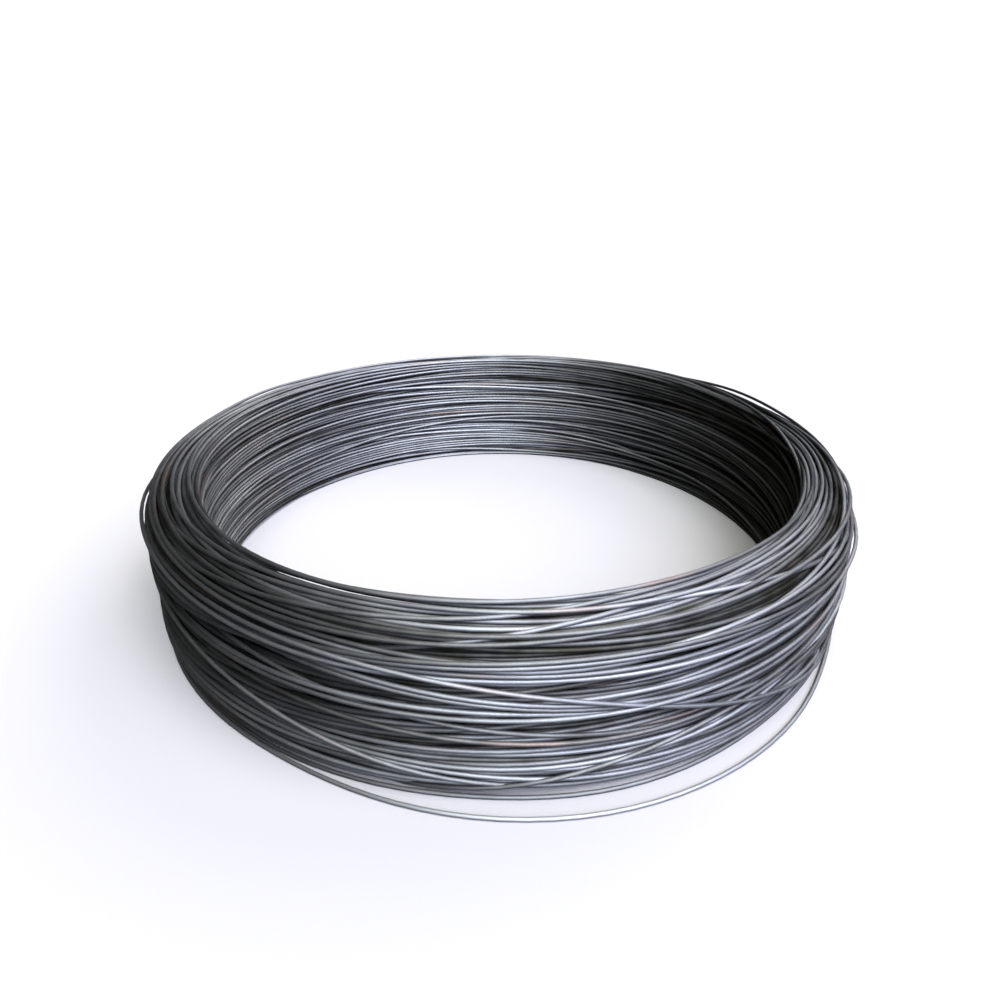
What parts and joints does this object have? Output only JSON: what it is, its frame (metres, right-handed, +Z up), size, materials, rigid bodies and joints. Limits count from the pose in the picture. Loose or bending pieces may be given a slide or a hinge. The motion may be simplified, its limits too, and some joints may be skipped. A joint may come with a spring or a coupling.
{
  "type": "wire coil",
  "caption": "Coil of black annealed steel wire lying flat: close turns in a ring bundle with rounded shoulders round an open bore that drops over a pay-off reel.",
  "frame": {"origin": "middle of the coil on the floor that it lies on", "axes": "+Z up along the bore axis; +X and +Y across the coil, with -Y towards the viewer"},
  "size_m": [0.5, 0.5, 0.102],
  "materials": {
    "annealed_wire": "dark annealed oxide, satin"
  },
  "bodies": {
    "root": {"wire_coil": "annealed_wire"}
  },
  "joints": []
}
